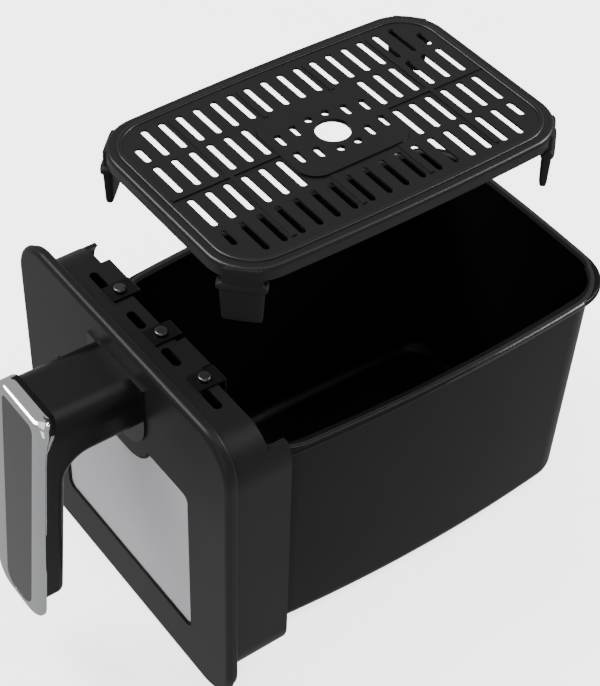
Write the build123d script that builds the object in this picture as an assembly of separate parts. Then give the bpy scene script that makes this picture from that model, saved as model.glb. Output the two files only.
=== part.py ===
from build123d import *
import os

os.makedirs("parts", exist_ok=True)

# A drawer of a small air fryer with its lift-out crisper plate, in millimetres.
# While modelling, y = 0 is the flat face of the front cover, +Y points to the
# back of the pan, +X to the right as seen from the front, and z = 0 is the table.
# save() then moves everything so that the origin is under the middle of the part.

cover_width = 198.0
cover_bottom = 1.0
cover_top = 203.0
cover_corner = 25.0
cover_depth = 3.8
wall = 2.5                      # plastic wall
sheet = 1.2                     # folded steel sheet

flange_depth = 3.6
flange_inset = 1.2
box_width = 187.4
box_bottom = 13.5
box_top = 190.0
box_corner = 23.0
box_back = 31.0
ear_back = 42.0
ear_top = 180.6

window_width = 127.4
window_bottom = 33.6
window_top = 141.7
window_corner = 6.0
window_lip = 1.5                # rubber between the glass and the cover
window_glass_depth = 2.4
collar_width = 52.6
collar_bottom = 138.6
collar_top = 187.0
collar_depth = 1.2
collar_margin = 12.0            # cover left between the collar and the window

handle_half = 24.2
bezel_bottom = 46.0
bezel_top = 188.9
front_lean = 0.0824             # the grip's front comes forward going down
insert_depth = 1.4
insert_recess = 0.3             # the strip lies this far behind the bezel's face

rim_height = 155.8
rim_width = 4.7
rim_thick = 3.3
pan_wall = 1.5
pan_draft = 5.4                 # how far the walls lean in from the rim to the foot
pan_front = 33.0                # front edge of the rim
pan_back = 277.5                # back edge of the rim
pan_foot_radius = 11.0

plate_half_width = 66.0
plate_half_length = 105.0
plate_bow = 2.8
plate_corner = 27.0
plate_sheet = 1.2
plate_skirt = 7.5
slot_pitch = 10.5
slot_width = 3.8
slot_length = 23.6
short_slot_length = 12.1
plate_rest = (-4.0, 135.5, 269.8)     # centre of the plate's top when lifted out
foot_reach = 34.6                      # bumper feet below the plate's top

screw_radius = 1.75
screw_head_radius = 3.5
hook_places = (-39.4, 0.0, 39.4)

handle_front = -1.0 * (59.0 + front_lean * (166.9 - bezel_bottom))
middle_y = 0.5 * (handle_front + pan_back + 2.0)
nodes = []


def save(node, shape):
    """Moves a finished piece to the part's origin and writes it."""
    moved = Pos(0, -middle_y, 0) * shape
    moved.label = node
    export_step(moved, f"parts/{node}.step")
    nodes.append(node)


def block(x0, x1, y0, y1, z0, z1):
    """A box given by its two ends along each axis."""
    centre = Pos((x0 + x1) / 2, (y0 + y1) / 2, (z0 + z1) / 2)
    return centre * Box(x1 - x0, y1 - y0, z1 - z0)


def upright(face, y0, y1):
    """Stands a flat face (drawn as x and z) up and gives it depth from y0 to y1."""
    plane = Plane(origin=(0, y0, 0), x_dir=(1, 0, 0), z_dir=(0, -1, 0))
    return extrude(plane * face, amount=-(y1 - y0))


def rounded(width, z0, z1, radius):
    """A rectangle with round corners between two heights, as x and z."""
    return Pos(0, (z0 + z1) / 2) * RectangleRounded(width, z1 - z0, radius)


def side_profile(points, radii):
    """A closed outline in the y-z plane, with each named corner rounded."""
    face = make_face(Polyline(*points, close=True))
    for place, radius in radii:
        corner = face.vertices().sort_by_distance((place[0], place[1], 0))[0]
        face = fillet(corner, radius)
    return face


def along_x(face, half):
    """Gives a y-z outline its width, the same to both sides."""
    return extrude(Plane.YZ * face, amount=half, both=True)


def rod(radius, start, end):
    """A round bar between two points."""
    axis = Vector(*end) - Vector(*start)
    return extrude(Plane(origin=start, z_dir=axis) * Circle(radius), amount=axis.length)


def screw(start, direction, length):
    """A screw with a domed head: start is under the head, direction is where it points."""
    way = Vector(*direction)
    seat = Vector(*start)
    head = extrude(Plane(origin=seat, z_dir=way * -1) * Circle(screw_head_radius), amount=2.2)
    top = head.edges().sort_by(lambda e: e.center().dot(way))[0]
    head = fillet(top, 1.2)
    return head + extrude(Plane(origin=seat, z_dir=way) * Circle(screw_radius), amount=length)


def front_line(z):
    """y of the grip's leaning front at height z."""
    return -59.0 + front_lean * (z - 166.9)


# ---------- front unit ----------

def window_face(grow):
    """The window's outline: a rectangle that dips below the handle's collar."""
    outline = rounded(
        window_width + 2 * grow, window_bottom - grow, window_top + grow, window_corner + grow
    )
    dip_width = collar_width + 4.4 - 2 * grow
    dip_bottom = collar_bottom - collar_margin + 1.0 + grow
    dip = rounded(dip_width, dip_bottom, dip_bottom + 60, 24 - grow)
    return outline - dip


def collar_face():
    """Square at the top and round at the bottom."""
    outline = rounded(collar_width, collar_bottom, collar_top, 22)
    return outline + Pos(0, collar_top - 14) * Rectangle(collar_width, 28)


def make_front_cover():
    """The moulded front with rolled edges, the window's opening and the handle's holes."""
    cover = upright(rounded(cover_width, cover_bottom, cover_top, cover_corner), 0, cover_depth)
    front = cover.faces().sort_by(Axis.Y)[0]
    cover = fillet(front.edges(), 3.2)
    return cover - upright(window_face(0), -1, cover_depth + 1)


def make_rear_frame():
    """A flange behind the cover and the open box behind it, with vents in its top."""
    flange = upright(
        rounded(cover_width - 2 * flange_inset, cover_bottom + flange_inset,
                cover_top - flange_inset, cover_corner - 1),
        cover_depth, cover_depth + flange_depth,
    )
    back_edge = flange.faces().sort_by(Axis.Y)[-1].edges()
    flange = fillet(back_edge, 1.6)
    shell = upright(rounded(box_width, box_bottom, box_top, box_corner), cover_depth + 2, ear_back)
    shell -= block(-box_width, box_width, box_back, ear_back + 1, ear_top, box_top + 5)
    frame = flange + shell
    inside = rounded(box_width - 2 * wall, box_bottom + wall, box_top - wall, box_corner - wall)
    frame -= upright(inside, cover_depth - 1, ear_back + 1)
    frame -= block(-70, 70, box_back, ear_back + 1, box_bottom - 5, box_bottom + 8)
    for x in (-52.5, -16.3, 16.3, 52.5):
        frame -= Pos(x, 22.6, box_top) * extrude(SlotOverall(14.7, 5.0), amount=10, both=True)
    for x0, x1 in ((-64, -46.5), (8.5, 31.5)):
        frame += block(x0, x1, box_back - 1, box_back + 5.2, box_top - wall, box_top)
    return frame


def make_back_plate():
    """The steel sheet that closes the box, with an opening in front of the pan's window."""
    outline = rounded(box_width - 2 * wall - 0.4, box_bottom + wall + 0.2,
                      box_top - wall - 0.2, box_corner - wall)
    opening = rounded(124, 30, 140, 8)
    return upright(outline - opening, box_back - sheet, box_back)


def make_hook(x):
    """A bent steel clip from the frame's top over the pan's front rim."""
    foot = block(x - 6, x + 6, 20, 36.5, box_top, box_top + sheet)
    leg = block(x - 6, x + 6, 36.5 - sheet, 36.5, rim_height, box_top + sheet)
    corner = (foot + leg).edges().filter_by(Axis.X).sort_by(Axis.Z)[-2:].sort_by(Axis.Y)[-1]
    return fillet(corner, 1.0)


def make_window_frame():
    """The clamp behind the window's glass."""
    return upright(window_face(7) - window_face(-4), cover_depth, cover_depth + 2)


def window_screws():
    """Six screws from behind through the clamp into the cover."""
    places = [(x, z) for x in (-67.2, 67.2) for z in (45, 88, 131)]
    group = [screw((x, cover_depth + 2, z), (0, -1, 0), 4.5) for x, z in places]
    return group


# ---------- handle ----------

stem_low = 160.0
grip_foot = 64.0
seam = [(-46.0, 188.5), (-56.0, 177.0), (-64.7, 74.5), (-66.0, grip_foot)]


def make_handle_body():
    """Stem and grip in one moulding; its front is closed by the bezel."""
    points = [(-collar_depth, 187.4)] + seam + [(-52.5, grip_foot), (-44.5, stem_low)]
    points.append((-collar_depth, stem_low))
    radii = [((-44.5, stem_low), 15.0), ((-52.5, grip_foot), 5.0)]
    body = along_x(side_profile(points, radii), handle_half)
    top_edges = body.edges().filter_by(lambda e: e.center().Z > 187 and e.center().X ** 2 > 500)
    body = fillet(top_edges, 12.5)
    rear_edges = body.edges().filter_by(
        lambda e: abs(abs(e.center().X) - handle_half) < 0.01
        and e.center().Y > seam[0][0] - 10
        and e.center().Z < stem_low + 1
        and e.length > 12
    )
    return fillet(rear_edges, 5.0)


def bezel_solid():
    """The chrome frame before the insert's pocket is cut."""
    points = [(front_line(bezel_top), bezel_top), (front_line(bezel_bottom), bezel_bottom)]
    points += [(-66.4, bezel_bottom)] + seam[::-1]
    wedge = along_x(make_face(Polyline(*points, close=True)), handle_half)
    outline = rounded(2 * handle_half, bezel_bottom, bezel_top, 13)
    outline += Pos(0, bezel_top - 20) * RectangleRounded(2 * handle_half, 40, 7)
    return wedge & upright(outline, -80, -20)


def make_strip(front, back):
    """A strip that follows the leaning front, between two depths behind its face."""
    face = make_face(
        Polyline((-14.7, 185), (14.7, 185), (12.6, 49.5), (-12.6, 49.5), close=True)
    )
    face = fillet(face.vertices().sort_by(Axis.Y)[:2], 9)
    face = fillet(face.vertices().sort_by(Axis.Y)[-2:], 4)
    strip = upright(face, -80, -20)
    low, high = bezel_bottom - 10, bezel_top + 10
    band = [(front_line(low) + front, low), (front_line(high) + front, high)]
    band += [(front_line(high) + back, high), (front_line(low) + back, low)]
    return strip & along_x(make_face(Polyline(*band, close=True)), 40)


def make_core():
    """The steel bar inside the handle and its foot behind the cover."""
    bend = [(cover_depth, 180), (-49.5, 180), (-59.5, 80), (-56.0, 80), (-46, 174), (cover_depth, 174)]
    bar = along_x(make_face(Polyline(*bend, close=True)), 9)
    foot = block(-21, 21, cover_depth, cover_depth + 2.5, 152, 185)
    return bar + foot


# ---------- pan ----------

def pan_outline(inset):
    """Bowed sides, a slightly bowed back and a straight front with round corners."""
    front, back = pan_front + inset, pan_back - inset
    near, far, widest = 77.0 - inset, 79.0 - inset, 84.5 - inset
    sides = [ThreePointArc((s * near, front), (s * widest, 175), (s * far, back)) for s in (1, -1)]
    rear = ThreePointArc((far, back), (0, back + 2), (-far, back))
    face = make_face([sides[0], rear, sides[1], Line((near, front), (-near, front))])
    corners = face.vertices().sort_by(Axis.Y)
    face = fillet(corners[-2:], 29 - 0.7 * inset)
    return fillet(face.vertices().sort_by(Axis.Y)[:2], 30 - 0.7 * inset)


def pan_solid(inset, bottom):
    """The pan as a full block with drafted walls, from its foot up to the rim."""
    draft = pan_draft * (1 - bottom / rim_height)
    foot = Pos(0, 0, bottom) * pan_outline(rim_width + inset + draft)
    mouth = Pos(0, 0, rim_height) * pan_outline(rim_width + inset)
    return loft([foot, mouth], ruled=True)


def rounded_foot(shape, radius):
    """Rounds the edge round the floor."""
    return fillet(shape.faces().sort_by(Axis.Z)[0].edges(), radius)


def make_pan():
    """A deep drawn pan with a rolled rim and an opening for its front window."""
    outer = rounded_foot(pan_solid(0, 0), pan_foot_radius)
    inner = rounded_foot(pan_solid(pan_wall, pan_wall), pan_foot_radius - pan_wall)
    rim = Pos(0, 0, rim_height - rim_thick) * extrude(pan_outline(0), amount=rim_thick)
    rim = fillet(rim.faces().sort_by(Axis.Z)[-1].edges(), 1.6)
    rim = fillet(rim.faces().sort_by(Axis.Z)[0].edges(), 1.0)
    tub = (outer - inner) + (rim - inner)
    return tub - block(-46, 46, 20, 70, 45, 125)


def wall_layer(near, far, half, z0, z1):
    """A plate that lies along the pan's front wall, from near to far outside it."""
    layer = pan_solid(-far, 0) - pan_solid(-near, 0)
    return layer & block(-half, half, 20, 60, z0, z1)


def make_pan_window():
    """Seal, glass and frame outside the pan's front wall."""
    seal = wall_layer(0, 1.0, 52, 39, 131) - block(-46, 46, 20, 70, 45, 125)
    glass = wall_layer(1.0, 4.0, 52, 39, 131)
    frame = wall_layer(0, 5.0, 58, 33, 137) - wall_layer(-1, 4.0, 52, 39, 131)
    frame -= block(-48, 48, 20, 70, 43, 127)
    return seal, glass, frame


# ---------- crisper plate ----------

def plate_outline(inset):
    """The plate seen from above: bowed sides and round corners."""
    half, length, bow = plate_half_width - inset, plate_half_length - inset, plate_bow
    sides = [
        ThreePointArc((s * half, -length), (s * (half + bow), 0), (s * half, length)) for s in (1, -1)
    ]
    ends = [Line((half, e * length), (-half, e * length)) for e in (1, -1)]
    face = make_face([sides[0], ends[0], sides[1], ends[1]])
    return fillet(face.vertices(), plate_corner - inset)


def plate_slots():
    """Four rows of slots; the inner rows stop at the raised pad."""
    slots = Sketch()
    for step in range(18):
        y = (step - 8.5) * slot_pitch
        for side in (-1, 1):
            short = step in (0, 17)
            outer_x = side * (37.5 if short else 43.0)
            length = short_slot_length if short else slot_length
            slots += Pos(outer_x, y) * SlotOverall(length, slot_width)
            if step <= 5 or step >= 12:
                slots += Pos(side * 15.1, y) * SlotOverall(slot_length, slot_width)
    return slots


def pad_holes():
    """A finger hole and the small holes round it."""
    holes = Sketch() + Circle(9.5)
    for side in (-1, 1):
        for end in (-1, 1):
            holes += Pos(side * 8.1, end * 26.5) * SlotOverall(9.5, slot_width)
            holes += Pos(side * 10.2, end * 16.0) * SlotOverall(9.0, slot_width)
            holes += Pos(side * 13.8, end * 5.3) * Circle(2.3)
    return holes


def plate_ribs():
    """Pressed ribs that stiffen the sheet, and the raised pad."""
    ribs = []
    for y in (-6, 6):
        ribs.append(Pos(0, y * slot_pitch, 0) * Box(108, 2.6, 1.4))
    for y in (-2, 2):
        for side in (-1, 1):
            ribs.append(Pos(side * 41, y * slot_pitch, 0) * Box(26, 2.6, 1.4))
    for end in (-1, 1):
        ribs.append(Pos(0, end * 63, 0) * Box(2.6, 68, 1.4))
    pad = extrude(RectangleRounded(54, 68, 12), amount=1.0)
    ribs.append(pad)
    return ribs


def make_plate():
    """Perforated sheet with a skirt turned down all round."""
    body = Pos(0, 0, -plate_skirt) * extrude(plate_outline(0), amount=plate_skirt)
    body = fillet(body.faces().sort_by(Axis.Z)[-1].edges(), 2.2)
    body -= Pos(0, 0, -plate_skirt - 1) * extrude(
        plate_outline(plate_sheet), amount=plate_skirt + 1 - plate_sheet
    )
    for rib in plate_ribs():
        body += rib
    cutter = plate_slots() + pad_holes()
    return body - Pos(0, 0, -5) * extrude(cutter, amount=10)


def make_bumper(side, end):
    """A silicone block over the corner with a thin foot, and a lip at its top."""
    turn = Rot(0, 0, 45 * side * end)
    height = -foot_reach
    thick = block(-3.6, 3.6, -12.3, 12.3, -17.9, -1.0)
    thick = fillet(thick.edges().filter_by(Axis.Z), 2.2)
    foot = block(-1.8, 1.8, -10.5, 10.5, height, -17)
    lip = block(-4.2, 4.2, -12.6, 12.6, -4.0, -1.0)
    lip = fillet(lip.edges().filter_by(Axis.Z), 2.6)
    bumper = Pos(side * 57.0, end * 95.0, 0) * turn * (thick + foot + lip)
    keep_out = Pos(0, 0, -plate_skirt) * extrude(plate_outline(-0.02), amount=plate_skirt)
    return bumper - keep_out


# ---------- assembly ----------

pan_block = pan_solid(0, 0)

hook_screws = [screw((x, 27, box_top + sheet), (0, 0, -1), 8) for x in hook_places]
plate_screws = [
    screw((x, box_back, z), (0, -1, 0), 12) for x in (-80, 80) for z in (60, 138)
]
clamp_screws = window_screws()
handle_screws = [screw((x, cover_depth + 2.5, 168), (0, -1, 0), 16) for x in (-15, 15)]
cover_screws = [
    screw((x, 14.0, z), (0, -1, 0), 12.5) for x in (-80, 80) for z in (40, 175)
]

front_cover = make_front_cover()
rear_frame = make_rear_frame()
posts = [rod(5, (x, 14.0, z), (x, cover_depth, z)) for x in (-80, 80) for z in (40, 175)]
posts += [rod(5, (x, box_back - sheet, z), (x, 18, z)) for x in (-80, 80) for z in (60, 138)]
for post in posts:
    arm = post.bounding_box()
    side = 1 if arm.center().X > 0 else -1
    web = block(min(side * 80, side * 92), max(side * 80, side * 92),
                arm.min.Y, arm.max.Y, arm.center().Z - 1.2, arm.center().Z + 1.2)
    rear_frame += post + web
for fastener in hook_screws + plate_screws + cover_screws:
    rear_frame -= fastener
for fastener in cover_screws + clamp_screws + handle_screws:
    front_cover -= fastener
core = make_core()
insert = make_strip(insert_recess, insert_recess + insert_depth)
pocket = make_strip(-3, insert_recess + insert_depth)
front_cover -= core

window_seal = upright(window_face(0) - window_face(-window_lip), 0.6, cover_depth)
window_glass = upright(window_face(-window_lip), 1.2, 1.2 + window_glass_depth)
window_frame = make_window_frame()
for fastener in clamp_screws:
    window_frame -= fastener

back_plate = make_back_plate()
for fastener in plate_screws:
    back_plate -= fastener

collar = upright(collar_face(), -collar_depth, 0) - core
handle_body = make_handle_body() - core - pocket
for fastener in handle_screws:
    collar -= fastener
    handle_body -= fastener
    core -= fastener

pan_seal, pan_glass, pan_frame = make_pan_window()
rivets = []
for x in (-55, 55):
    for z in (50, 85, 120):
        shaft = rod(1.5, (x, 30, z), (x, 46, z))
        rivets.append(shaft & (pan_solid(-6.2, 0) - pan_solid(pan_wall, 0)))
spacers = []
for x in (-38, 38):
    spacers.append(rod(6, (x, box_back, 22), (x, 60, 22)) - pan_block)
pan = make_pan()
for rivet in rivets:
    pan -= rivet
    pan_frame -= rivet

save("pan", pan)
save("pan_window_seal", pan_seal)
save("pan_window_glass", pan_glass)
save("pan_window_frame", pan_frame)
save("pan_window_rivets", Compound(children=[Part() + r for r in rivets]))
save("pan_spacers", Compound(children=[Part() + s for s in spacers]))
for name, x in zip(("left", "middle", "right"), hook_places):
    hook = make_hook(x)
    for fastener in hook_screws:
        hook -= fastener
    save(f"pan_hook_{name}", hook)
save("hook_screws", Compound(children=[Part() + s for s in hook_screws]))
save("back_plate", back_plate)
save("back_plate_screws", Compound(children=[Part() + s for s in plate_screws]))
save("rear_frame", rear_frame)
save("front_cover", front_cover)
save("cover_screws", Compound(children=[Part() + s for s in cover_screws]))
save("window_glass", window_glass)
save("window_seal", window_seal)
save("window_clamp", window_frame)
save("window_clamp_screws", Compound(children=[Part() + s for s in clamp_screws]))
save("handle_collar", collar)
save("handle_body", handle_body)
save("handle_core", core)
save("handle_screws", Compound(children=[Part() + s for s in handle_screws]))
save("handle_bezel", bezel_solid() - pocket)
save("handle_insert", insert)

at_rest = Pos(*plate_rest)
save("crisper_plate", at_rest * make_plate())
for end, end_name in ((-1, "front"), (1, "rear")):
    for side, side_name in ((-1, "left"), (1, "right")):
        save(f"bumper_{end_name}_{side_name}", at_rest * make_bumper(side, end))

print(len(nodes), "nodes, middle_y", round(middle_y, 3))
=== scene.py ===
import math

import bmesh
import bpy
import numpy as np
from mathutils import Matrix, Vector


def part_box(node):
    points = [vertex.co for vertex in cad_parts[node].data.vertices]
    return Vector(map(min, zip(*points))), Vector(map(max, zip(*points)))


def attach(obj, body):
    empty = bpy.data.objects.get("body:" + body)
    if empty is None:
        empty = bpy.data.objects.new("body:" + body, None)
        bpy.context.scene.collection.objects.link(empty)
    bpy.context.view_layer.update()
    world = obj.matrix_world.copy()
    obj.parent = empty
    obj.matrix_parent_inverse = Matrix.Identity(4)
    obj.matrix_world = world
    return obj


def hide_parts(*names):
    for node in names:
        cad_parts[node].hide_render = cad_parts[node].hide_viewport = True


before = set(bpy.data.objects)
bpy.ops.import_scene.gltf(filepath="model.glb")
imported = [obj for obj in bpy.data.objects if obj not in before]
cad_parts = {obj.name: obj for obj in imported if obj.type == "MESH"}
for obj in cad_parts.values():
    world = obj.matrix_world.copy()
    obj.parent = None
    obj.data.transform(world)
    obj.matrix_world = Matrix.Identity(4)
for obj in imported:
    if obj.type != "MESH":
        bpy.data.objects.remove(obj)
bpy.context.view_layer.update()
mm = 0.001
print("frame loaded")


# camera, at the height and side that shows the front, the right and the inside

cameraLook = {
    "place": (0.56715, -0.42387, 0.83087),
    "azimuth": 52.53,       # degrees, 0 looks along +Y
    "elevation": 44.25,
    "roll": 1.945,
    "lens": 108.757,
    "sensor": 36,
    "reach": 20,            # metres
}


def makeCamera(look):
    # forward comes from the two angles; right and up are turned about it by the roll
    az, el = math.radians(look["azimuth"]), math.radians(look["elevation"])
    roll = math.radians(look["roll"])
    flat = Vector((-math.sin(az), math.cos(az), 0))
    forward = flat * math.cos(el) + Vector((0, 0, -math.sin(el)))
    level = Vector((math.cos(az), math.sin(az), 0))
    above = level.cross(forward)
    right = level * math.cos(roll) + above * math.sin(roll)
    up = right.cross(forward)
    data = bpy.data.cameras.new("camera")
    data.sensor_fit = "HORIZONTAL"
    data.sensor_width = look["sensor"]
    data.lens = look["lens"]
    data.clip_end = look["reach"]
    camera = bpy.data.objects.new("camera", data)
    turn = Matrix((right, up, -forward)).transposed().to_4x4()
    camera.matrix_world = Matrix.Translation(Vector(look["place"])) @ turn
    bpy.context.collection.objects.link(camera)
    bpy.context.scene.camera = camera


makeCamera(cameraLook)


# nodes and materials

def linear(code):
    # sRGB hex to linear: the standard curve, channel by channel
    parts = [int(code[i:i + 2], 16) / 255 for i in (1, 3, 5)]
    curve = [c / 12.92 if c <= 0.04045 else ((c + 0.055) / 1.055) ** 2.4 for c in parts]
    return (*curve, 1.0)


def addNode(tree, kind, links=None, **settings):
    # adds a node; settings are socket values or properties, links go into sockets by name
    node = tree.nodes.new(kind)
    for key, value in settings.items():
        name = key.replace("_", " ")
        sockets = {s.name.lower(): s for s in node.inputs}
        if name.lower() in sockets:
            sockets[name.lower()].default_value = value
        else:
            setattr(node, key, value)
    for socket, source in (links or {}).items():
        tree.links.new(source, node.inputs[socket])
    return node


def newMaterial(name):
    material = bpy.data.materials.new(name)
    material.use_nodes = True
    tree = material.node_tree
    tree.nodes.clear()
    place = addNode(tree, "ShaderNodeTexCoord").outputs["Object"]
    return material, tree, place


def finishMaterial(tree, shader):
    addNode(tree, "ShaderNodeOutputMaterial", {"Surface": shader.outputs["BSDF"]})


speckle = {
    "cloud": 28,            # mm, the width of the slow changes of tone
    "strength": 0.5,
}


def speckled(name, dark, light, grain, bumpDepth, roughness, spread, **extra):
    # a solid colour that wanders a little between two tones, with a fine bump of grain mm
    material, tree, place = newMaterial(name)
    cloud = addNode(
        tree, "ShaderNodeTexNoise", {"Vector": place}, scale=1 / (speckle["cloud"] * mm), detail=3.0
    )
    fine = addNode(tree, "ShaderNodeTexNoise", {"Vector": place}, scale=1 / (grain * mm), detail=2.0)
    tone = addNode(tree, "ShaderNodeMix", {0: cloud.outputs["Fac"]}, data_type="RGBA")
    tone.inputs[6].default_value = linear(dark)     # the two colours of a colour mix
    tone.inputs[7].default_value = linear(light)
    rough = addNode(tree, "ShaderNodeMapRange", {0: fine.outputs["Fac"]})
    rough.inputs[3].default_value = roughness - spread      # the two ends of the new range
    rough.inputs[4].default_value = roughness + spread
    bump = addNode(
        tree, "ShaderNodeBump", {"Height": fine.outputs["Fac"]},
        strength=speckle["strength"], distance=bumpDepth * mm,
    )
    shader = addNode(
        tree, "ShaderNodeBsdfPrincipled",
        {"Base Color": tone.outputs[2], "Roughness": rough.outputs[0], "Normal": bump.outputs[0]},
        **extra,
    )
    finishMaterial(tree, shader)
    return material


# Sprayed ceramic-filled coating on drawn steel: dark, a little uneven, soft wide highlights.
panCoating = speckled(
    "panCoating", "#0a0a0b", "#0e0e0f", 1.1, 0.05, 0.33, 0.05, ior=1.45, specular_ior_level=0.13
)
# The same coating rubbed smoother by hand washing, with bluish grey lights.
plateCoating = speckled(
    "plateCoating", "#08080a", "#0d0d0f", 0.9, 0.04, 0.33, 0.04, ior=1.45, specular_ior_level=0.35
)
# The coating on the rolled rim, polished by the plate and by handling; its lighter tone is a painted
# highlight along the rim.
rimCoatingWithHighlight = speckled("rimCoatingWithHighlight", "#161617", "#1d1d1e", 1.1, 0.02, 0.22, 0.04, ior=1.45)
# Spark-eroded ABS moulding: fine even grain that keeps the dark grey satin.
satinAbs = speckled(
    "satinAbs", "#101011", "#141415", 0.7, 0.06, 0.38, 0.04, ior=1.49, specular_ior_level=0.16
)
# Smooth-moulded black polyamide: darker and slicker than the housing.
blackNylon = speckled(
    "blackNylon", "#040404", "#070707", 0.8, 0.03, 0.30, 0.03, ior=1.45, specular_ior_level=0.35
)
# Moulded silicone rubber: dull with a faint dusty bloom.
silicone = speckled(
    "silicone", "#0b0b0c", "#101011", 0.5, 0.05, 0.5, 0.04, ior=1.41, specular_ior_level=0.2
)
# Polished acrylic strip with a clear hard coat.
glossStrip = speckled(
    "glossStrip", "#0c0c0d", "#101011", 2.0, 0.004, 0.12, 0.02, ior=1.49, coat_weight=0.3
)
# Bright nickel and chrome plating on ABS.
chromePlate = speckled("chromePlate", "#d6d7da", "#dfe0e2", 3.0, 0.004, 0.07, 0.02, metallic=1.0)
# Zinc-plated sheet with a rolled grain.
zincSheet = speckled("zincSheet", "#a3a4a6", "#b6b7b9", 0.9, 0.02, 0.33, 0.07, metallic=1.0)
# Black-oxide steel screws.
darkSteel = speckled("darkSteel", "#4c4c4e", "#565658", 0.6, 0.01, 0.3, 0.05, metallic=1.0)
# Machined and tumbled steel screws.
screwSteel = speckled("screwSteel", "#c2c3c5", "#cfd0d1", 0.6, 0.01, 0.22, 0.05, metallic=1.0)


glassWave = {
    "length": 60,           # mm, the long weak waves that tempering leaves
    "strength": 0.4,
}


def tintAndReflectionGlass(name, tone, roughness, transmission, waveDepth):
    # tempered glass with a tone in it and its long waves as a bump; on the window the light grey tone is
    # a painted reflection
    material, tree, place = newMaterial(name)
    wave = addNode(
        tree, "ShaderNodeTexNoise", {"Vector": place}, scale=1 / (glassWave["length"] * mm), detail=1.0
    )
    bump = addNode(
        tree, "ShaderNodeBump", {"Height": wave.outputs["Fac"]},
        strength=glassWave["strength"], distance=waveDepth * mm,
    )
    shader = addNode(
        tree, "ShaderNodeBsdfPrincipled", {"Normal": bump.outputs[0]},
        base_color=linear(tone), roughness=roughness, transmission_weight=transmission, ior=1.52,
    )
    finishMaterial(tree, shader)
    return material


# The window glass: its light grey, barely clear tone is a painted reflection of a pale room.
paintedReflectionGlass = tintAndReflectionGlass("paintedReflectionGlass", "#8d8d90", 0.14, 0.2, 0.05)
clearGlass = tintAndReflectionGlass("clearGlass", "#e6ebea", 0.03, 0.95, 0.02)


# light and floor

lights = {
    "key": {"place": (-0.9, -0.7, 1.7), "size": 0.9, "power": 45},
    "fill": {"place": (1.6, -1.3, 1.2), "size": 1.6, "power": 11},
    "back": {"place": (0.5, 1.6, 1.5), "size": 0.7, "power": 45},
    "top": {"place": (0.1, 0.1, 2.2), "size": 1.8, "power": 12},
}
lightAim = Vector((0, 0, 0.12))
worldStrength = 0.5
sweep = {
    "half": 6.0,            # metres
    "colour": "#f6f6f6",
    "roughness": 0.8,
    "glow": 2.4,            # a lit sweep keeps the floor pale and the shadows soft
    "fibre": 3,             # mm
    "strength": 0.1,
    "bumpDepth": 0.02,      # mm
}


def addLight(name, place, size, power):
    data = bpy.data.lights.new(name, "AREA")
    data.shape = "SQUARE"
    data.size = size
    data.energy = power
    lamp = bpy.data.objects.new(name, data)
    lamp.location = place
    lamp.rotation_euler = (lightAim - Vector(place)).to_track_quat("-Z", "Y").to_euler()
    bpy.context.collection.objects.link(lamp)


def lightWorld(strength):
    world = bpy.data.worlds.new("world")
    world.use_nodes = True
    background = world.node_tree.nodes["Background"]
    background.inputs["Color"].default_value = linear("#ffffff")
    background.inputs["Strength"].default_value = strength
    bpy.context.scene.world = world


def paperFloor():
    material, tree, place = newMaterial("paperFloor")
    fibre = addNode(
        tree, "ShaderNodeTexNoise", {"Vector": place}, scale=1 / (sweep["fibre"] * mm), detail=2.0
    )
    bump = addNode(
        tree, "ShaderNodeBump", {"Height": fibre.outputs["Fac"]},
        strength=sweep["strength"], distance=sweep["bumpDepth"] * mm,
    )
    shader = addNode(
        tree, "ShaderNodeBsdfPrincipled", {"Normal": bump.outputs[0]},
        base_color=linear(sweep["colour"]), roughness=sweep["roughness"],
        emission_color=linear("#ffffff"), emission_strength=sweep["glow"],
    )
    finishMaterial(tree, shader)
    return material


def makeFloor():
    corners = np.array([(-1, -1), (1, -1), (1, 1), (-1, 1)]) * sweep["half"]
    points = np.column_stack([corners, np.zeros(4)])
    mesh = bpy.data.meshes.new("floor")
    mesh.from_pydata(points.tolist(), [], [(0, 1, 2, 3)])
    mesh.materials.append(paperFloor())
    floor = bpy.data.objects.new("floor", mesh)
    bpy.context.collection.objects.link(floor)
    floor.visible_glossy = False        # dark glossy sides would mirror its glow


for name, look in lights.items():
    addLight(name, **look)
lightWorld(worldStrength)
makeFloor()
print("camera, light and floor placed")


# finishes of the CAD parts; screws and rivets left out here are bright, other parts zinc plated

finishes = {
    "pan": panCoating,
    "back_plate": panCoating,
    "window_clamp": panCoating,
    "pan_hook_left": panCoating,
    "pan_hook_middle": panCoating,
    "pan_hook_right": panCoating,
    "crisper_plate": plateCoating,
    "front_cover": satinAbs,
    "rear_frame": satinAbs,
    "handle_body": blackNylon,
    "handle_collar": blackNylon,
    "handle_bezel": chromePlate,
    "handle_insert": glossStrip,
    "window_glass": paintedReflectionGlass,
    "pan_window_glass": clearGlass,
    "pan_window_seal": silicone,
    "window_seal": silicone,
    "bumper_front_left": silicone,
    "bumper_front_right": silicone,
    "bumper_rear_left": silicone,
    "bumper_rear_right": silicone,
    "hook_screws": darkSteel,
}
for name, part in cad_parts.items():
    fallback = screwSteel if "screws" in name or "rivets" in name else zincSheet
    part.data.materials.clear()
    part.data.materials.append(finishes.get(name, fallback))
print("finishes assigned")


# surfaces worked out on a grid

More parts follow.
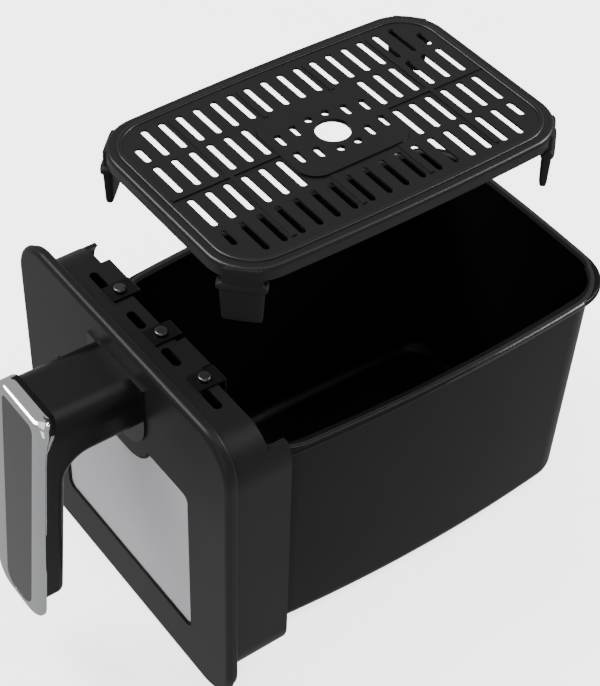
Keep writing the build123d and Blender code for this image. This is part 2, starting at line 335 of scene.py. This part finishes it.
def gridMesh(name, points, material, endless=False):
    # points[i, j] is a closed ring i along the piece; an endless piece meets itself,
    # and the two ends of any other are closed by a centre point
    rings, around, _ = points.shape
    flat = points.reshape(-1, 3)
    ends = np.array([points[0].mean(axis=0), points[-1].mean(axis=0)])
    i, j = np.meshgrid(np.arange(rings - (not endless)), np.arange(around), indexing="ij")
    nextI, nextJ = (i + 1) % rings, (j + 1) % around
    quads = np.stack(
        [i * around + j, i * around + nextJ, nextI * around + nextJ, nextI * around + j], axis=-1
    ).reshape(-1, 4)
    k = np.arange(around)
    first = np.stack([np.full(around, rings * around), (k + 1) % around, k], axis=1)
    base = (rings - 1) * around
    last = np.stack([np.full(around, rings * around + 1), base + k, base + (k + 1) % around], axis=1)
    mesh = bpy.data.meshes.new(name)
    faces = quads.tolist() if endless else quads.tolist() + first.tolist() + last.tolist()
    mesh.from_pydata((flat if endless else np.vstack([flat, ends])).tolist(), [], faces)
    mesh.materials.append(material)
    mesh.polygons.foreach_set("use_smooth", np.ones(len(faces), bool))
    turned = bmesh.new()
    turned.from_mesh(mesh)
    bmesh.ops.recalc_face_normals(turned, faces=turned.faces)
    turned.to_mesh(mesh)
    turned.free()
    piece = bpy.data.objects.new(name, mesh)
    bpy.context.collection.objects.link(piece)
    return piece


def superRing(halfWidth, halfDepth, squareness, count):
    # a rounded rectangle: |x/a|^n + |y/b|^n = 1, walked by angle
    angle = np.linspace(0, 2 * np.pi, count, endpoint=False)
    c, s = np.cos(angle), np.sin(angle)
    x = np.sign(c) * np.abs(c) ** (2 / squareness)
    y = np.sign(s) * np.abs(s) ** (2 / squareness)
    return np.stack([halfWidth * x, halfDepth * y], axis=1)


def roundedPath(halfLow, halfHigh, low, high, radiusLow, radiusHigh, perCorner=14, perEdge=18):
    # four quarter arcs joined by straight edges, walked once round; two columns, across and up
    corners = [
        (halfHigh - radiusHigh, high - radiusHigh, radiusHigh, 0.0),
        (-halfHigh + radiusHigh, high - radiusHigh, radiusHigh, 0.5),
        (-halfLow + radiusLow, low + radiusLow, radiusLow, 1.0),
        (halfLow - radiusLow, low + radiusLow, radiusLow, 1.5),
    ]
    arcs = []
    for across, up, radius, start in corners:
        angle = np.linspace(start, start + 0.5, perCorner) * np.pi
        arcs.append(np.stack([across + radius * np.cos(angle), up + radius * np.sin(angle)], axis=1))
    rows = []
    for index, arc in enumerate(arcs):
        share = np.linspace(0, 1, perEdge + 2)[1:-1, None]
        rows += [arc, arc[-1] + share * (arcs[(index + 1) % 4][0] - arc[-1])]
    return np.concatenate(rows)


def beadAlong(name, path, height, section, around, material):
    # an ellipse, section = half width and half height, carried round a level path
    ahead = np.roll(path, -1, axis=0) - np.roll(path, 1, axis=0)
    side = np.stack([ahead[:, 1], -ahead[:, 0]], axis=1) / np.linalg.norm(ahead, axis=1)[:, None]
    turn = np.linspace(0, 2 * np.pi, around, endpoint=False)
    wide, tall = section
    plan = path[:, None] + wide * np.cos(turn)[None, :, None] * side[:, None]
    up = np.broadcast_to(height + tall * np.sin(turn), plan.shape[:2])
    return gridMesh(name, np.dstack([plan, up]) * mm, material, endless=True)


def boxInMm(name):
    return [np.array(corner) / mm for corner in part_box(name)]


bumper = {
    # down from the lip: height over the top, half width, half thickness, all in mm
    "profile": [
        (-0.8, 7.5, 0.8), (-1.1, 9.2, 2.0), (-2.4, 9.8, 2.6), (-8.8, 9.8, 2.6), (-9.6, 10.2, 2.6),
        (-10.2, 12.0, 3.2), (-10.9, 12.6, 3.9), (-12.8, 12.6, 3.9), (-13.6, 12.0, 3.3),
        (-14.3, 11.1, 2.8), (-16.0, 10.9, 2.7), (-31.8, 10.1, 2.2), (-33.2, 9.7, 1.9), (-34.2, 8.2, 0.9),
    ],
    "topOver": 1.0,         # how far the profile's zero lies over the CAD bumper
    "outward": 0.6,
    "squareness": 5.0,
    "rings": 90,
    "around": 72,
}


def makeBumper(name, side, end):
    # rings between the profile's rows, each a rounded rectangle set square to the corner
    low, high = boxInMm("bumper_" + name)
    top = high[2] + bumper["topOver"]
    rows = np.array(bumper["profile"])
    steps = np.linspace(0, len(rows) - 1, bumper["rings"])
    z, wide, thick = [np.interp(steps, np.arange(len(rows)), rows[:, c]) for c in range(3)]
    unit = superRing(1.0, 1.0, bumper["squareness"], bumper["around"])
    outward = np.array([side, end]) / math.sqrt(2)
    along = np.array([-outward[1], outward[0]])
    centre = (low[:2] + high[:2]) / 2 + outward * bumper["outward"]
    across = unit[None, :, 0, None] * wide[:, None, None] * along
    through = unit[None, :, 1, None] * thick[:, None, None] * outward
    xy = centre + across + through
    height = np.broadcast_to((top + z)[:, None, None], xy.shape[:2] + (1,))
    piece = gridMesh("siliconeBumper_" + name, np.concatenate([xy, height], axis=2) * mm, silicone)
    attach(piece, "plate")
    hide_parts("bumper_" + name)


for endName, end in (("front", -1), ("rear", 1)):
    for sideName, side in (("left", -1), ("right", 1)):
        makeBumper(f"{endName}_{sideName}", side, end)
print("bumpers made")


bezel = {
    # the insert's outline and the bezel's: foot first, then top, in mm
    "insertHalf": (12.6, 14.7),
    "insertEnds": (49.5, 185.0),
    "insertRadius": (9.0, 4.0),
    "outerRadius": (13.0, 9.0),
    "proud": 0.15,
    "lean": 0.0824,         # mm that the front goes back for each mm up
    # the section: (share of the way from the insert to the outline, depth behind the front)
    "lip": [(0.0, 1.7), (0.0, 0.5), (0.04, 0.12), (0.12, 0.0)],
    "roundFrom": 0.45,
    "roundRadius": 1.9,
    "capRoundMore": 2.2,
    "roundSteps": 9,
    "backShares": (1.0, 0.9, 0.2),
    "backDepth": 1.7,
    # the seam with the grip, which runs further back on the cap
    "sideDepth": 3.0,
    "capDepth": 11.3,
    "capStart": 172.0,
    "capCurve": 1.3,
}


def makeBezel():
    # the section runs from the insert's edge over a rounded front to the seam, and goes round
    # the two outlines; the cap is where the seam lies further back
    low, high = boxInMm("handle_bezel")
    inner = roundedPath(*bezel["insertHalf"], *bezel["insertEnds"], *bezel["insertRadius"])
    wide = high[0] + bezel["proud"]
    outer = roundedPath(wide, wide, low[2], high[2], *bezel["outerRadius"])
    climb = np.clip((outer[:, 1] - bezel["capStart"]) / (high[2] - bezel["capStart"]), 0, 1)
    deeper = bezel["capDepth"] - bezel["sideDepth"]
    seam = bezel["sideDepth"] + deeper * climb ** bezel["capCurve"]
    radius = bezel["roundRadius"] + bezel["capRoundMore"] * climb
    lip = np.array(bezel["lip"])
    turn = np.linspace(0, np.pi / 2, bezel["roundSteps"])
    roundShare = bezel["roundFrom"] + (1 - bezel["roundFrom"]) * np.sin(turn)
    share = np.concatenate([lip[:, 0], roundShare, bezel["backShares"]])
    plan = inner[:, None] + share[None, :, None] * (outer - inner)[:, None]
    behind = np.hstack([
        np.broadcast_to(lip[:, 1], (len(outer), len(lip))),
        radius[:, None] * (1 - np.cos(turn)),
        np.stack([seam, seam, np.full_like(seam, bezel["backDepth"])], axis=1),
    ])
    front = low[1] + bezel["lean"] * (plan[..., 1] - low[2])
    points = np.stack([plan[..., 0], front + behind, plan[..., 1]], axis=-1)
    piece = gridMesh("chromeBezel", points * mm, chromePlate, endless=True)
    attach(piece, "drawer")
    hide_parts("handle_bezel")


border = {
    "inset": 6.5,
    "radius": 21,
    "bow": 2.6,             # how far the long sides swell at their middle
    "bowSpread": 1.2,
    "below": 1.0,           # the bead's middle under the plate's highest point
    "section": (1.5, 0.85),
    "around": 16,
}


def makeBorder():
    # a half-round bead pressed round the plate; its long sides swell as a parabola
    low, high = boxInMm("crisper_plate")
    centre, half = (low + high) / 2, (high - low) / 2
    wide, long = half[:2] - border["inset"]
    path = roundedPath(wide, wide, -long, long, border["radius"], border["radius"])
    drawnIn = border["bow"] * (path[:, 1] / half[1]) ** 2
    path[:, 0] -= (
        np.sign(path[:, 0]) * drawnIn
        * np.minimum(np.abs(path[:, 0]) / half[0] * border["bowSpread"], 1)
    )
    piece = beadAlong(
        "plateBorder", path + centre[:2], high[2] - border["below"],
        border["section"], border["around"], plateCoating,
    )
    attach(piece, "plate")


rim = {
    # distances from the front cover's face along Y and half widths, in mm
    "stations": (33.0, 175.0, 277.5),
    "halfWidths": (77.0, 84.5, 79.0),
    "radii": (30.0, 29.0),
    "backBow": 2.0,
    "backReach": 6,
    "inset": 2.35,
    "below": 1.65,          # the bead's middle under the pan's highest point
    "section": (2.6, 1.85),
    "around": 20,
    "perCorner": 20,
    "perEdge": 40,
}


def makeRim():
    # an ellipse carried round the mouth; the sides bow as one parabola through three widths
    low, high = boxInMm("pan")
    near, _, far = rim["halfWidths"]
    front, _, back = rim["stations"]
    inset = rim["inset"]
    path = roundedPath(
        near - inset, far - inset, front + inset, back - inset,
        *rim["radii"], rim["perCorner"], rim["perEdge"],
    )
    straight = near + (far - near) * (path[:, 1] - front) / (back - front)
    bowed = np.polyval(np.polyfit(rim["stations"], rim["halfWidths"], 2), path[:, 1])
    path[:, 0] *= bowed / straight
    path[:, 1] += low[1] - front
    atBack = path[:, 1] > high[1] - rim["backReach"]
    path[:, 1] += rim["backBow"] * atBack * (1 - (path[:, 0] / far) ** 2)
    piece = beadAlong(
        "rolledRim", path, high[2] - rim["below"], rim["section"], rim["around"], rimCoatingWithHighlight
    )
    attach(piece, "drawer")


makeBezel()
makeBorder()
makeRim()
print("bezel, border and rim made")
